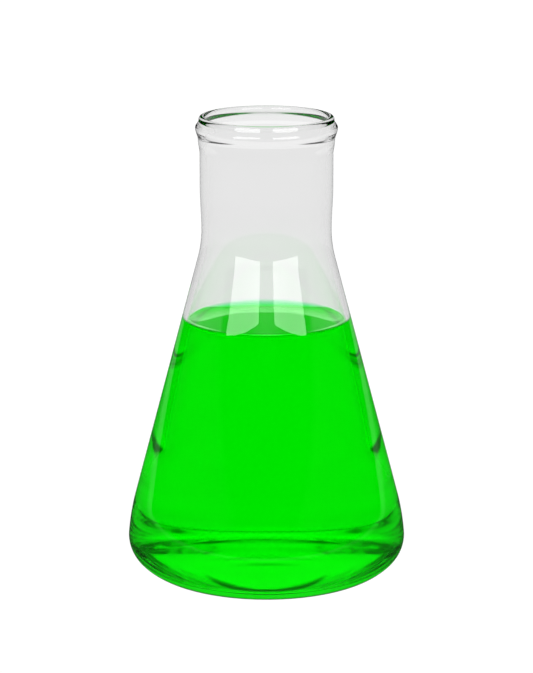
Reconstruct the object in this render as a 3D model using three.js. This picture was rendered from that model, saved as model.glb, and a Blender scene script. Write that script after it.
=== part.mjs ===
// A wide-neck erlenmeyer flask of 500 ml, blown in one piece of borosilicate glass, with a green
// solution in it. Millimetres, +Z up. The origin is the centre of the ring that the flask stands on.
import * as THREE from "three";

// Driving dimensions of the outside.
const HEIGHT = 175;
const BODY_RADIUS = 52.5;
const STAND_RING_OUTER = 35.1;
const STAND_RING_INNER = 32;
const KICK_HEIGHT = 1.6; // the underside is hollowed by this much inside the stand ring
const CONE_HALF_ANGLE = 14.8;
const HEEL_TOP = { radius: 88, from: 5 }; // angles are of the outward normal above the horizontal
const HEEL_SIDE = { radius: 11.9, from: -45 };
const SHOULDER_RADIUS = 43;
const WAIST_RADIUS = 24.25;
const NECK_RADIUS = 24.8;
const NECK_FLARE_TOP = 148.5;
const BEAD_RADIUS = 26.8;
const BEAD_BOTTOM = 161;
const BEAD_WIDEST = 171;
const BEAD_TOP = 173.2;

// Thickness of the glass, measured square to the wall.
const WALL = 2;
const BASE_THICKNESS = 3;
const THICK_UP_TO = 26; // the base's extra thickness has faded out at this height

// The filling.
const LIQUID_LEVEL = 96;
const LIQUID_GAP = 0.3;

const SEGMENTS = 48;
const rad = THREE.MathUtils.degToRad;
const lerp = THREE.MathUtils.lerp;
const smooth = THREE.MathUtils.smoothstep;

// Points along an arc of the outline, each with its outward normal. A hollow (concave) arc has its
// centre outside the glass, so its normals point at the centre.
function arc(centre, radius, fromDegrees, toDegrees, steps, hollow = false) {
  const points = [];
  for (let i = 0; i <= steps; i++) {
    const a = rad(lerp(fromDegrees, toDegrees, i / steps));
    const normal = new THREE.Vector2(Math.cos(a), Math.sin(a));
    const at = centre.clone().addScaledVector(normal, hollow ? -radius : radius);
    points.push({ at, normal });
  }
  return points;
}

// The arc's centre that puts its point at an angle onto a given point.
function centreThrough(point, radius, degrees) {
  const a = rad(degrees);
  return new THREE.Vector2(point.x - radius * Math.cos(a), point.y - radius * Math.sin(a));
}

// Heel: three arcs, tangent to each other, from the stand ring up to the cone. The low arc's radius
// is the one that makes the side arc reach the body radius.
function heel() {
  const { radius: side, from: sideFrom } = HEEL_SIDE;
  const { radius: top, from: topFrom } = HEEL_TOP;
  const toSide = Math.cos(rad(sideFrom));
  const low = (BODY_RADIUS - side - STAND_RING_OUTER) / toSide + side;
  const lowArc = arc(new THREE.Vector2(STAND_RING_OUTER, low), low, -90, sideFrom, 7);
  const sideArc = arc(centreThrough(lowArc.at(-1).at, side, sideFrom), side, sideFrom, topFrom, 10);
  const topArc = arc(centreThrough(sideArc.at(-1).at, top, topFrom), top, topFrom, CONE_HALF_ANGLE, 4);
  return [...lowArc, ...sideArc.slice(1), ...topArc.slice(1)];
}

// Shoulder: one hollow arc, tangent to the cone below it and upright at the waist above it.
function shoulder(coneFoot) {
  const slope = Math.tan(rad(CONE_HALF_ANGLE));
  const start = WAIST_RADIUS + SHOULDER_RADIUS * (1 - Math.cos(rad(CONE_HALF_ANGLE)));
  const startHeight = coneFoot.y + (coneFoot.x - start) / slope;
  const centre = new THREE.Vector2(
    WAIST_RADIUS + SHOULDER_RADIUS,
    startHeight + SHOULDER_RADIUS * Math.sin(rad(CONE_HALF_ANGLE)),
  );
  return arc(centre, SHOULDER_RADIUS, CONE_HALF_ANGLE, 0, 7, true);
}

// Neck: it opens a little from the waist upwards, and then runs straight to the lip.
function neck(waist, top) {
  const points = [];
  for (let i = 1; i <= 4; i++) {
    const z = lerp(waist.y, NECK_FLARE_TOP, i / 4);
    const r = lerp(WAIST_RADIUS, NECK_RADIUS, smooth(z, waist.y, NECK_FLARE_TOP));
    points.push({ at: new THREE.Vector2(r, z), normal: new THREE.Vector2(1, 0) });
  }
  points.push({ at: new THREE.Vector2(NECK_RADIUS, top), normal: new THREE.Vector2(1, 0) });
  return points;
}

// The wall's outline from the stand ring to a height in the neck, without the bead.
function wallOutline(top) {
  const heelPoints = heel();
  const shoulderPoints = shoulder(heelPoints.at(-1).at);
  return [...heelPoints, ...shoulderPoints, ...neck(shoulderPoints.at(-1).at, top)];
}

// The wall's outline moved inwards, square to itself. The base's extra thickness fades out upwards.
function insideOutline(top, gap) {
  return wallOutline(top).map(({ at, normal }) => {
    const extra = (BASE_THICKNESS - WALL) * (1 - smooth(at.y, 0, THICK_UP_TO));
    return at.clone().addScaledVector(normal, -(WALL + extra + gap));
  });
}

// A shallow dome over the stand ring, from the axis outwards, lifted by an offset.
function dome(offset, edge, steps) {
  const points = [];
  for (let i = 0; i <= steps; i++) {
    const r = (edge * i) / steps;
    const rise = KICK_HEIGHT * (1 - smooth(r, 0, STAND_RING_INNER));
    points.push(new THREE.Vector2(r, offset + rise));
  }
  return points;
}

// Bead: a ring of extra glass round the mouth, as half-waves that rise to its widest and fall to the lip.
function bead() {
  const points = [];
  const wave = (share) => (1 - Math.cos(Math.PI * share)) / 2;
  for (let i = 1; i <= 6; i++) {
    const z = lerp(BEAD_BOTTOM, BEAD_WIDEST, i / 6);
    points.push(new THREE.Vector2(lerp(NECK_RADIUS, BEAD_RADIUS, wave(i / 6)), z));
  }
  for (let i = 1; i <= 4; i++) {
    const z = lerp(BEAD_WIDEST, BEAD_TOP, i / 4);
    points.push(new THREE.Vector2(lerp(BEAD_RADIUS, NECK_RADIUS, wave(i / 4)), z));
  }
  return points;
}

// Lip: a fire-polished half round over the thickness of the wall.
function lip() {
  const across = WALL / 2;
  const up = HEIGHT - BEAD_TOP;
  const points = [];
  for (let i = 1; i < 8; i++) {
    const a = (Math.PI * i) / 8;
    const r = NECK_RADIUS - across + across * Math.cos(a);
    points.push(new THREE.Vector2(r, BEAD_TOP + up * Math.sin(a)));
  }
  return points;
}

function flaskGeometry() {
  const underside = dome(0, STAND_RING_INNER, 6);
  const outside = wallOutline(BEAD_BOTTOM).map(({ at }) => at);
  const inside = insideOutline(BEAD_TOP, 0);
  const floor = dome(inside[0].y, STAND_RING_OUTER, 6).slice(0, -1);
  const profile = [...underside, ...outside, ...bead(), ...lip(), ...inside.reverse(), ...floor.reverse()];
  return new THREE.LatheGeometry(profile, SEGMENTS);
}

// The filling has the flask's inner shape, up to a level surface.
function liquidGeometry() {
  const side = insideOutline(BEAD_TOP, LIQUID_GAP);
  const below = side.filter((p) => p.y < LIQUID_LEVEL);
  const above = side[below.length];
  const last = below.at(-1);
  const share = (LIQUID_LEVEL - last.y) / (above.y - last.y);
  const edge = new THREE.Vector2(lerp(last.x, above.x, share), LIQUID_LEVEL);
  const floor = dome(side[0].y, STAND_RING_OUTER, 6).slice(0, -1);
  const centre = new THREE.Vector2(0, LIQUID_LEVEL);
  return new THREE.LatheGeometry([...floor, ...below, edge, centre], SEGMENTS);
}

const GLASS = new THREE.MeshStandardMaterial({
  color: 0xe8eaea,
  roughness: 0.02,
  metalness: 0,
  transparent: true,
  opacity: 0.3,
});
const GREEN_SOLUTION = new THREE.MeshStandardMaterial({
  color: 0x00e100,
  roughness: 0.03,
  metalness: 0,
  transparent: true,
  opacity: 0.85,
});

// A lathe turns about Y, so each piece is stood up onto +Z.
function standing(name, geometry, material) {
  const mesh = new THREE.Mesh(geometry, material);
  mesh.name = name;
  mesh.rotation.x = Math.PI / 2;
  return mesh;
}

const flask = new THREE.Group();
flask.add(standing("glass_flask", flaskGeometry(), GLASS));
flask.add(standing("green_solution", liquidGeometry(), GREEN_SOLUTION));

export default flask;
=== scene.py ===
"""A 500 ml conical flask of borosilicate glass with a green solution in it, standing on a pale table.

Everything is in metres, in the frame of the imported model: the origin is the centre of the ring that
the flask stands on, and +Z is its axis.
"""
import math

import bpy
import numpy as np
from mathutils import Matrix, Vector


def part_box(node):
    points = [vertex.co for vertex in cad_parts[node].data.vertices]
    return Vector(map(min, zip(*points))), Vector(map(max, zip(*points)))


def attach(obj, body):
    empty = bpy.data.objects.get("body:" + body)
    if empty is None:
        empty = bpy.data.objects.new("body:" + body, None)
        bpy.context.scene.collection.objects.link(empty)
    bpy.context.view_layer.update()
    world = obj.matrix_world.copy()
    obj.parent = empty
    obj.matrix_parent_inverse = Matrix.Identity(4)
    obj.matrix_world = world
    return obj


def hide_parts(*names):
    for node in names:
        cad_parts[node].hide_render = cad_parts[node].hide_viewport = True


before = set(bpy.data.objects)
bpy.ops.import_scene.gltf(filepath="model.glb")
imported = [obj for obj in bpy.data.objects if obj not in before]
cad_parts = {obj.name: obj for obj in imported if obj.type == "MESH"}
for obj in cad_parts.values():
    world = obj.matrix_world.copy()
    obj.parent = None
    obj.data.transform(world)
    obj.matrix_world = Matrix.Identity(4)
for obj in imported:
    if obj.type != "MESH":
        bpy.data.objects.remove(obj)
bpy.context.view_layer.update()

# ---------------------------------------------------------------------------------------------------
# Driving dimensions
# ---------------------------------------------------------------------------------------------------
flask_low, flask_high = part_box("glass_flask")
solution_low, solution_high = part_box("green_solution")
HEIGHT = flask_high.z
BODY_RADIUS = flask_high.x
LIQUID_LEVEL = solution_high.z

# Outside of the flask. Angles are those of the outward normal above the horizontal, in degrees.
STAND_RING_OUTER = 0.0351
STAND_RING_INNER = 0.032
KICK_HEIGHT = 0.0016
HEEL_SIDE_RADIUS = 0.0119
HEEL_SIDE_FROM = -45
HEEL_TOP_RADIUS = 0.088
HEEL_TOP_FROM = 5
CONE_HALF_ANGLE = 14.8
SHOULDER_RADIUS = 0.043
WAIST_RADIUS = 0.02425
NECK_RADIUS = 0.0248
NECK_FLARE_TOP = 0.1485
BEAD_BOTTOM = 0.161
BEAD_CREASE = 0.1662  # under the bead the wall swells first, up to a soft crease
CREASE_RADIUS = 0.0254
BEAD_WIDEST = 0.1707
BEAD_RADIUS = 0.0264
BEAD_TOP = 0.1735
LIP_OUTER_RADIUS = 0.0251
LIP_INNER_RADIUS = 0.0228

# Thickness of the glass, square to the wall.
WALL = 0.002
BASE_THICKNESS = 0.003
THICK_UP_TO = 0.026

# The solution climbs the glass, as water does, to a rim where its surface slopes this steeply.
CAPILLARY_LENGTH = 0.0027
FLAT_SLOPE = math.radians(0.4)  # the climb is followed down to this slope, and is level from there
WETTING_SLOPE = math.radians(66)
CONTACT_HEIGHT = LIQUID_LEVEL + 2 * CAPILLARY_LENGTH * math.sin(WETTING_SLOPE / 2)
WETTED_OVERLAP = 0.00015  # the solution's skin lies this far inside the glass, so no air is between them
WETTED_UP_TO = CONTACT_HEIGHT - WETTED_OVERLAP * math.tan(WETTING_SLOPE)

GLASS_IOR = 1.473
WATER_IOR = 1.333
DYE_COLOUR = (0.025, 0.9997, 0.41, 1)
DYE_DENSITY = 800.0

SPOKES = 224


# ---------------------------------------------------------------------------------------------------
# Outlines: arrays of (radius, height), run anticlockwise, so that the outside is on their right
# ---------------------------------------------------------------------------------------------------
def smooth(x, start, end):
    """0 below start, 1 above end, and the cubic 3t^2 - 2t^3 between them."""
    t = np.clip((x - start) / (end - start), 0, 1)
    return t * t * (3 - 2 * t)


def arc(centre, radius, from_degrees, to_degrees, steps):
    """Points at centre + radius * (cos a, sin a), with a stepping evenly between the two angles.

    A negative radius gives a hollow arc, whose normal at angle a points at its centre.
    """
    angle = np.radians(np.linspace(from_degrees, to_degrees, steps))
    return np.asarray(centre) + radius * np.stack([np.cos(angle), np.sin(angle)], axis=1)


def centre_through(point, radius, degrees):
    """The centre of the circle that has the point at that angle."""
    angle = math.radians(degrees)
    return point - radius * np.array([math.cos(angle), math.sin(angle)])


def straight(start, end, steps):
    """Points in even steps on the line between two points, without either of them."""
    share = np.linspace(0, 1, steps + 2)[1:-1, None]
    return np.asarray(start) * (1 - share) + np.asarray(end) * share


def heel_outline():
    """Three arcs in tangent contact: from the stand ring, round the widest place, up to the cone."""
    low_radius = HEEL_SIDE_RADIUS + (BODY_RADIUS - HEEL_SIDE_RADIUS - STAND_RING_OUTER) / math.cos(
        math.radians(HEEL_SIDE_FROM)
    )
    low = arc((STAND_RING_OUTER, low_radius), low_radius, -90, HEEL_SIDE_FROM, 26)
    side_centre = centre_through(low[-1], HEEL_SIDE_RADIUS, HEEL_SIDE_FROM)
    side = arc(side_centre, HEEL_SIDE_RADIUS, HEEL_SIDE_FROM, HEEL_TOP_FROM, 30)
    top_centre = centre_through(side[-1], HEEL_TOP_RADIUS, HEEL_TOP_FROM)
    top = arc(top_centre, HEEL_TOP_RADIUS, HEEL_TOP_FROM, CONE_HALF_ANGLE, 14)
    return np.concatenate([low, side[1:], top[1:]])


def shoulder_outline(cone_foot):
    """One hollow arc, in line with the cone below it and upright at the waist above it."""
    lean = math.radians(CONE_HALF_ANGLE)
    start_radius = WAIST_RADIUS + SHOULDER_RADIUS * (1 - math.cos(lean))
    start_height = cone_foot[1] + (cone_foot[0] - start_radius) / math.tan(lean)
    centre = (WAIST_RADIUS + SHOULDER_RADIUS, start_height + SHOULDER_RADIUS * math.sin(lean))
    return arc(centre, -SHOULDER_RADIUS, CONE_HALF_ANGLE, 0, 24)


def wall_outline():
    """The outside of the wall, from the stand ring up to where the bead begins."""
    heel = heel_outline()
    shoulder = shoulder_outline(heel[-1])
    cone = straight(heel[-1], shoulder[0], 36)
    neck_height = np.linspace(shoulder[-1, 1], BEAD_BOTTOM, 22)[1:]
    flare = smooth(neck_height, shoulder[-1, 1], NECK_FLARE_TOP)
    neck_radius = WAIST_RADIUS + (NECK_RADIUS - WAIST_RADIUS) * flare
    return np.concatenate([heel, cone, shoulder, np.stack([neck_radius, neck_height], axis=1)])


def half_wave(start, end, steps):
    """From one point to another, with the radius on half a cosine wave of the height."""
    share = np.linspace(0, 1, steps + 1)[1:]
    radius = start[0] + (end[0] - start[0]) * (1 - np.cos(np.pi * share)) / 2
    return np.stack([radius, start[1] + (end[1] - start[1]) * share], axis=1)


def inward(outline, distance):
    """The outline moved to its left, square to itself, by a distance for each point."""
    along = np.gradient(outline, axis=0)
    along /= np.linalg.norm(along, axis=1, keepdims=True)
    return outline + np.stack([-along[:, 1], along[:, 0]], axis=1) * distance[:, None]


def inner_wall(extra=0.0):
    """The inside of the wall, from the base up to the lip, or a skin that is extra deep in the glass."""
    outside = wall_outline()
    thick = WALL + (BASE_THICKNESS - WALL) * (1 - smooth(outside[:, 1], 0, THICK_UP_TO))
    return inward(outside, thick - extra)


def dome(offset, edge, steps):
    """From the axis outwards: the base's hollow, KICK_HEIGHT deep at the axis and level at the ring."""
    radius = np.linspace(0, edge, steps)
    rise = KICK_HEIGHT * (1 - smooth(radius, 0, STAND_RING_INNER))
    return np.stack([radius, offset + rise], axis=1)


def point_at(outline, height):
    """The outline's point at that height."""
    return np.array([[np.interp(height, outline[:, 1], outline[:, 0]), height]])


def flask_outline():
    """The whole section of the glass: underside, wall, bead, lip, inside and floor.

    The second result is the number of its point at which the wetted part of the inside begins.
    """
    wall = wall_outline()
    inside = inner_wall()
    bead_foot = (NECK_RADIUS, BEAD_BOTTOM)
    bead_crease = (CREASE_RADIUS, BEAD_CREASE)
    bead_crest = (BEAD_RADIUS, BEAD_WIDEST)
    lip_radius = (LIP_OUTER_RADIUS - LIP_INNER_RADIUS) / 2
    lip_centre = (LIP_INNER_RADIUS + lip_radius, HEIGHT - lip_radius)
    swell = half_wave(bead_foot, bead_crease, 14)
    bead = half_wave(bead_crease, bead_crest, 14)
    bead_fall = half_wave(bead_crest, (LIP_OUTER_RADIUS, BEAD_TOP), 14)
    lip = arc(lip_centre, lip_radius, 0, 180, 20)
    down_the_neck = half_wave(lip[-1], inside[-1], 12)[:-1]
    dry_inside = inside[inside[:, 1] > WETTED_UP_TO]
    wet_inside = inside[inside[:, 1] < WETTED_UP_TO]
    floor = dome(inside[0, 1], inside[0, 0], 24)[:-1]
    outside = [dome(0, STAND_RING_INNER, 24), wall, swell, bead, bead_fall, lip]
    dry = np.concatenate([*outside, down_the_neck, dry_inside[::-1]])
    wet = np.concatenate([point_at(inside, WETTED_UP_TO), wet_inside[::-1], floor[::-1]])
    return np.concatenate([dry, wet]), len(dry)


def meniscus(wall_radius):
    """The free surface from the glass to the axis.

    With s the slope of the surface and c the capillary length, its height over the level is
    2 c sin(s / 2), and its distance from the wall grows by c (-ln tan(s / 4) - 2 cos(s / 2)).
    """
    slope = np.geomspace(WETTING_SLOPE, FLAT_SLOPE, 44)
    reach = CAPILLARY_LENGTH * (-np.log(np.tan(slope / 4)) - 2 * np.cos(slope / 2))
    radius = wall_radius - (reach - reach[0])
    height = LIQUID_LEVEL + 2 * CAPILLARY_LENGTH * np.sin(slope / 2)
    edge = np.stack([radius, height], axis=1)
    crisp = edge[0] + (edge[1] - edge[0]) * 0.05
    level = straight((radius[-1], LIQUID_LEVEL), (0, LIQUID_LEVEL), 5)
    return np.concatenate([edge[:1], [crisp], edge[1:], level, [(0, LIQUID_LEVEL)]])


def solution_outline():
    """The whole section of the solution: its floor, the wetted wall, and the free surface."""
    skin = inner_wall(WETTED_OVERLAP)
    wetted = skin[skin[:, 1] < CONTACT_HEIGHT - 0.0004]
    crisp = point_at(skin, CONTACT_HEIGHT - 0.00002)
    floor = dome(skin[0, 1], skin[0, 0], 24)[:-1]
    return np.concatenate([floor, wetted, crisp, meniscus(contact_radius())])


def contact_radius():
    """Where the free surface meets the wetted wall."""
    return point_at(inner_wall(WETTED_OVERLAP), CONTACT_HEIGHT)[0, 0]


# ---------------------------------------------------------------------------------------------------
# Meshes
# ---------------------------------------------------------------------------------------------------
def turned(name, outline, materials, second_from=0):
    """A closed body turned about +Z from an outline that starts and ends on the axis.

    Ring i and spoke j give the point (r cos a, r sin a, z), where a is the spoke's angle, and r and z
    are the outline's radius and height. Where there are two materials, the second begins at the
    outline's point number second_from.
    """
    angle = np.arange(SPOKES) * (2 * np.pi / SPOKES)
    radius = outline[1:-1, :1]
    rings = len(radius)
    x = radius * np.cos(angle)
    y = radius * np.sin(angle)
    z = np.broadcast_to(outline[1:-1, 1:], x.shape)
    poles = [[0, 0, outline[0, 1]], [0, 0, outline[-1, 1]]]
    points = np.concatenate([np.stack([x, y, z], axis=2).reshape(-1, 3), poles])

    here = np.arange(rings * SPOKES).reshape(rings, SPOKES)
    onward = np.roll(here, -1, axis=1)
    quads = np.stack([here[:-1], onward[:-1], onward[1:], here[1:]], axis=2).reshape(-1, 4)
    pole = np.full(SPOKES, rings * SPOKES)
    first_fan = np.stack([pole, onward[0], here[0]], axis=1)
    last_fan = np.stack([here[-1], onward[-1], pole + 1], axis=1)

    mesh = bpy.data.meshes.new(name)
    mesh.from_pydata(points.tolist(), [], quads.tolist() + last_fan.tolist() + first_fan.tolist())
    mesh.polygons.foreach_set("use_smooth", np.ones(len(mesh.polygons), bool))
    for material in materials:
        mesh.materials.append(material)
    if second_from:
        which = np.zeros(len(mesh.polygons), np.int32)
        which[(second_from - 1) * SPOKES : -SPOKES] = 1
        mesh.polygons.foreach_set("material_index", which)
    mesh.update()
    piece = bpy.data.objects.new(name, mesh)
    bpy.context.scene.collection.objects.link(piece)
    return piece


# ---------------------------------------------------------------------------------------------------
# Materials
# ---------------------------------------------------------------------------------------------------
class Number:
    """A number in a shader. An expression written on it adds the Math nodes that work it out."""

    def __init__(self, shader, output):
        self.shader = shader
        self.output = output

    def maths(self, operation, first, second):
        node = self.shader.node("ShaderNodeMath", {"operation": operation}, {0: first, 1: second})
        return Number(self.shader, node.outputs[0])

    def __add__(self, other):
        return self.maths("ADD", self, other)

    __radd__ = __add__

    def __mul__(self, other):
        return self.maths("MULTIPLY", self, other)

    __rmul__ = __mul__

    def __sub__(self, other):
        return self.maths("SUBTRACT", self, other)

    def __rsub__(self, other):
        return self.maths("SUBTRACT", other, self)

    def __truediv__(self, other):
        return self.maths("DIVIDE", self, other)

    def clip(self):
        return self.maths("MINIMUM", self.maths("MAXIMUM", self, 0), 1)


class Shader:
    """The nodes of one material, or of the world."""

    def __init__(self, owner):
        owner.use_nodes = True
        self.owner = owner
        self.tree = owner.node_tree
        self.tree.nodes.clear()

    def node(self, kind, settings=None, sockets=None):
        """A node of that type. Its settings are set first, and then its sockets' values or links."""
        node = self.tree.nodes.new(kind)
        for key, value in (settings or {}).items():
            setattr(node, key, value)
        for key, value in (sockets or {}).items():
            if isinstance(value, Number):
                value = value.output
            if isinstance(value, bpy.types.NodeSocket):
                self.tree.links.new(value, node.inputs[key])
            else:
                node.inputs[key].default_value = value
        return node

    def output(self, kind, surface, volume=None):
        sockets = {"Surface": surface.outputs[0]}
        if volume:
            sockets["Volume"] = volume.outputs[0]
        return self.node(kind, None, sockets)

    def object_place(self):
        return self.node("ShaderNodeTexCoord").outputs["Object"]

    def noise(self, place, scale, detail=2.0, stretch=(1, 1, 1)):
        """A soft random pattern from 0 to 1, scale patches to the metre, stretched along the axes."""
        mapping = self.node("ShaderNodeMapping", None, {"Vector": place, "Scale": stretch})
        sockets = {"Vector": mapping.outputs[0], "Scale": scale, "Detail": detail, "Roughness": 0.5}
        return Number(self, self.node("ShaderNodeTexNoise", None, sockets).outputs["Fac"])

    def blend(self, mask, first, second):
        """A colour that goes from the first to the second with the mask."""
        sockets = {"Factor": mask, 6: (*first, 1), 7: (*second, 1)}
        return self.node("ShaderNodeMix", {"data_type": "RGBA"}, sockets).outputs[2]


def glass(name, ior):
    """Glass with faint cords and swirls, bounded by a medium that gives it this relative index."""
    shader = Shader(bpy.data.materials.new(name))
    place = shader.object_place()
    cords = shader.noise(place, 260, stretch=(1, 1, 0.04))
    swirl = shader.noise(place, 45)
    haze = shader.noise(place, 900, detail=4)
    height = cords * 0.6 + swirl * 0.4
    bump = shader.node("ShaderNodeBump", None, {"Height": height, "Strength": 0.02, "Distance": 0.0004})
    sockets = {
        "Base Color": shader.blend(swirl, (0.965, 0.965, 0.965), (0.98, 0.98, 0.98)),
        "Roughness": haze * 0.004,
        "IOR": ior,
        "Transmission Weight": 1.0,
        "Normal": bump.outputs[0],
    }
    shader.output("ShaderNodeOutputMaterial", shader.node("ShaderNodeBsdfPrincipled", None, sockets))
    return shader.owner


def green_solution():
    """Dyed water. Its free surface bends light as water does.

    Where it wets the glass, the bend is the glass's own (wetted_glass), so its skin there bends nothing.
    The skin is the cone through the rim where the two meet: r = rim radius - (z - rim height) tan(lean).
    """
    shader = Shader(bpy.data.materials.new("green_solution"))
    place = shader.object_place()
    film = shader.noise(place, 60)
    parts = shader.node("ShaderNodeSeparateXYZ", None, {"Vector": place}).outputs
    flat = shader.node("ShaderNodeVectorMath", {"operation": "MULTIPLY"}, {0: place, 1: (1, 1, 0)})
    length = shader.node("ShaderNodeVectorMath", {"operation": "LENGTH"}, {0: flat.outputs[0]})
    r = Number(shader, length.outputs["Value"])
    z = Number(shader, parts[2])
    cone = (CONTACT_HEIGHT - z) * math.tan(math.radians(CONE_HALF_ANGLE)) + contact_radius()
    inside_cone = ((cone - r - 0.00002) / 0.00001).clip()
    above = ((z - LIQUID_LEVEL + 0.0001) / 0.00001).clip()
    tint = shader.blend(film, (0.98, 1.0, 0.98), (0.99, 1.0, 0.99))
    sockets = {"Base Color": tint, "Transmission Weight": 1.0, "Roughness": 0.0, "IOR": 1.0}
    skin = shader.node("ShaderNodeBsdfPrincipled", None, sockets)
    sockets = {**sockets, "Roughness": film * 0.003, "IOR": WATER_IOR}
    surface = shader.node("ShaderNodeBsdfPrincipled", None, sockets)
    sockets = {"Fac": inside_cone * above, 1: skin.outputs[0], 2: surface.outputs[0]}
    body = shader.node("ShaderNodeMixShader", None, sockets)
    dye = shader.node(
        "ShaderNodeVolumeAbsorption", None, {"Color": DYE_COLOUR, "Density": DYE_DENSITY}
    )
    shader.output("ShaderNodeOutputMaterial", body, dye)
    return shader.owner


# ---------------------------------------------------------------------------------------------------
# The studio
# ---------------------------------------------------------------------------------------------------
CAMERA_DISTANCE = 1.080
CAMERA_HEIGHT = 0.352
CAMERA_PITCH = math.radians(13.58)
CAMERA_LENS = 158.07

# Strengths of light, where 1 is white.
WHITE = 1.04  # the floor and wall, which only the camera sees
NEAR_TABLE_SHADE = 0.865  # painted shade: the table as it shows through the solution, dimmer than the white floor the camera sees
FAR_TABLE_SHADE = 0.86  # and through the clear neck
OVERHEAD = 1.05  # what shows through the glass above the dark band
HORIZON = 0.9  # and below it
BAND_SHADE = 0.04
BAND_BOTTOM = 0.203  # sines of its elevations
BAND_TOP = 0.265
MIRRORED_SHADE = 0.03  # painted shade: the dark copy of the table that the glass mirrors in place of the white floor, near the foot
MIRRORED_TABLE_SHADE = 0.22  # and further off, where the neck mirrors it
SOFT_BOX_RADIANCE = 5.2

FLOOR_HEIGHT = -0.0002
ROOM_RADIUS = 9.0
ROOM_HEIGHT = 6.0
MIRRORED_TABLE_RADIUS = 1.05
SOFT_BOX_DISTANCE = 0.177
SOFT_BOX_AZIMUTHS = (10, 51)
SOFT_BOX_FOOT = (0.1455, 0.1315)  # heights at those azimuths
SOFT_BOX_TOP = 0.29


def set_camera():
    camera = bpy.data.objects.new("camera", bpy.data.cameras.new("camera"))
    camera.location = (0, -CAMERA_DISTANCE, CAMERA_HEIGHT)
    camera.rotation_euler = (math.pi / 2 - CAMERA_PITCH, 0, 0)
    camera.data.lens = CAMERA_LENS
    camera.data.sensor_width = 36
    camera.data.clip_end = 50
    bpy.context.scene.collection.objects.link(camera)
    bpy.context.scene.camera = camera


def set_world():
    """The light that comes through the glass from all round, with a dark band just over the horizon.

    The band keeps a haze off the solution's free surface, which mirrors that height at a low angle.
    """
    world = bpy.data.worlds.new("studio")
    bpy.context.scene.world = world
    world.cycles_visibility.glossy = False
    shader = Shader(world)
    direction = shader.node("ShaderNodeTexCoord").outputs["Generated"]
    parts = shader.node("ShaderNodeSeparateXYZ", None, {"Vector": direction}).outputs
    up = Number(shader, parts[2])
    high = ((up - BAND_TOP) / 0.02).clip()
    low = ((BAND_BOTTOM - up) / 0.015).clip()
    light = high * OVERHEAD + low * HORIZON + BAND_SHADE
    background = shader.node("ShaderNodeBackground", None, {"Color": (1, 1, 1, 1), "Strength": light})
    shader.output("ShaderNodeOutputWorld", background)


def glow(name, strength):
    """A white material that gives light of that strength, a number all over or a pattern."""
    shader = Shader(bpy.data.materials.new(name))
    if callable(strength):
        strength = strength(shader)
    light = shader.node("ShaderNodeEmission", None, {"Color": (1, 1, 1, 1), "Strength": strength})
    shader.output("ShaderNodeOutputMaterial", light)
    return shader.owner


def shaded_rings(near, far, start, end):
    """A pattern round the axis that goes from one strength to the other between two distances."""

    def pattern(shader):
        place = shader.object_place()
        length = shader.node("ShaderNodeVectorMath", {"operation": "LENGTH"}, {0: place})
        distance = Number(shader, length.outputs["Value"])
        share = ((distance - start) / (end - start)).clip()
        return share * (far - near) + near

    return pattern


def stage_sheet(name, points, faces, material, seen_by):
    """A piece of the studio for one kind of ray: "camera", "mirrored" or "through_glass"."""
    mesh = bpy.data.meshes.new(name)
    mesh.from_pydata(points.tolist(), [], faces)
    mesh.update()
    sheet = bpy.data.objects.new(name, mesh)
    bpy.context.scene.collection.objects.link(sheet)
    sheet.data.materials.append(material)
    sheet.visible_camera = seen_by == "camera"
    sheet.visible_glossy = seen_by == "mirrored"
    sheet.visible_transmission = seen_by == "through_glass"


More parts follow.
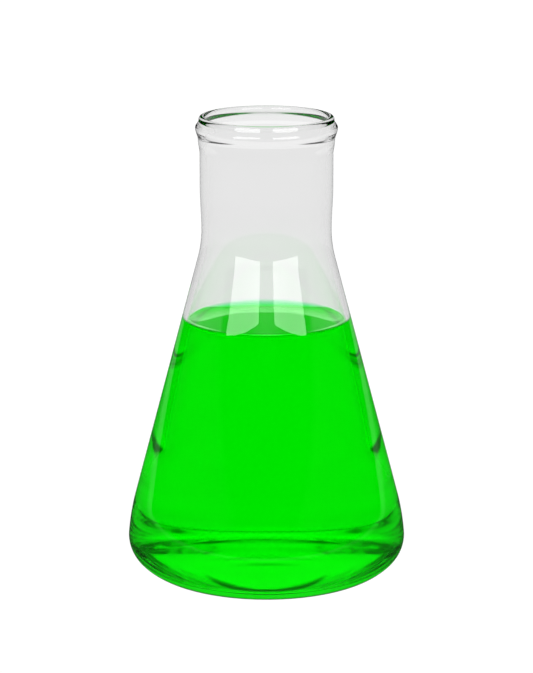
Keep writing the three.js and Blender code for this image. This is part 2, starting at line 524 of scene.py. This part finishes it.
def round_sheet(name, first_edge, second_edge, material, seen_by, azimuths=(0, 360)):
    """A sheet round the axis between two edges.

    An edge is (radius, height, height), with its heights at the first and the last azimuth. Azimuths are
    in degrees off the front, and the edges run from one to the other in even steps.
    """
    share = np.linspace(0, 1, 129)
    turn = np.radians(azimuths[0] + (azimuths[1] - azimuths[0]) * share)
    edges = [
        np.stack([radius * np.sin(turn), -radius * np.cos(turn), start + (end - start) * share], axis=1)
        for radius, start, end in (first_edge, second_edge)
    ]
    here = np.arange(len(share) - 1)
    quads = np.stack([here, here + 1, here + 1 + len(share), here + len(share)], axis=1)
    stage_sheet(name, np.concatenate(edges), quads.tolist(), material, seen_by)


def add_room():
    """A plain white floor and wall that only the camera sees, and two copies of the table with painted
    shade: a dimmer one seen through the glass, and a dark one that is a painted reflection in the glass.
    """
    white = glow("white", WHITE)
    # painted shade: the table seen through the glass is a dimmer copy of the white floor
    lit = glow("lit_table", shaded_rings(NEAR_TABLE_SHADE, FAR_TABLE_SHADE, 0.3, 0.5))
    # painted shade: the glass mirrors this dark copy of the table, not the white floor
    dim = glow("painted_shade_mirrored_table", shaded_rings(MIRRORED_SHADE, MIRRORED_TABLE_SHADE, 0.45, 0.65))
    axis = (0, FLOOR_HEIGHT, FLOOR_HEIGHT)
    edge = (ROOM_RADIUS, FLOOR_HEIGHT, FLOOR_HEIGHT)
    mirrored_edge = (MIRRORED_TABLE_RADIUS, FLOOR_HEIGHT, FLOOR_HEIGHT)
    round_sheet("floor", axis, edge, white, "camera")
    round_sheet("wall", edge, (ROOM_RADIUS, ROOM_HEIGHT, ROOM_HEIGHT), white, "camera")
    # painted shade: only rays through the glass see this dimmer table
    round_sheet("lit_table", axis, edge, lit, "through_glass")
    # painted reflection: this dark sheet shows only in the glass's reflections
    round_sheet("painted_shade_mirrored_table", axis, mirrored_edge, dim, "mirrored")


def add_soft_boxes():
    """Two soft boxes in front, left and right. Their lower edges slope down away from the middle."""
    light = glow("soft_box", SOFT_BOX_RADIANCE)
    low = (SOFT_BOX_DISTANCE, *SOFT_BOX_FOOT)
    high = (SOFT_BOX_DISTANCE, SOFT_BOX_TOP, SOFT_BOX_TOP)
    for name, side in (("soft_box_left", -1), ("soft_box_right", 1)):
        azimuths = [side * azimuth for azimuth in SOFT_BOX_AZIMUTHS]
        round_sheet(name, low, high, light, "mirrored", azimuths)


set_camera()
set_world()
add_room()
add_soft_boxes()

outline, wetted_from = flask_outline()
glasses = [glass("clear_glass", GLASS_IOR), glass("wetted_glass", GLASS_IOR / WATER_IOR)]
flask = turned("flask_glass", outline, glasses, wetted_from)
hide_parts("glass_flask")
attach(flask, "root")

solution = turned("dyed_water", solution_outline(), [green_solution()])
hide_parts("green_solution")
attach(solution, "root")

bpy.context.scene.view_settings.view_transform = "Standard"
bpy.context.scene.cycles.max_bounces = 64
bpy.context.scene.cycles.transmission_bounces = 64
bpy.context.scene.cycles.glossy_bounces = 20
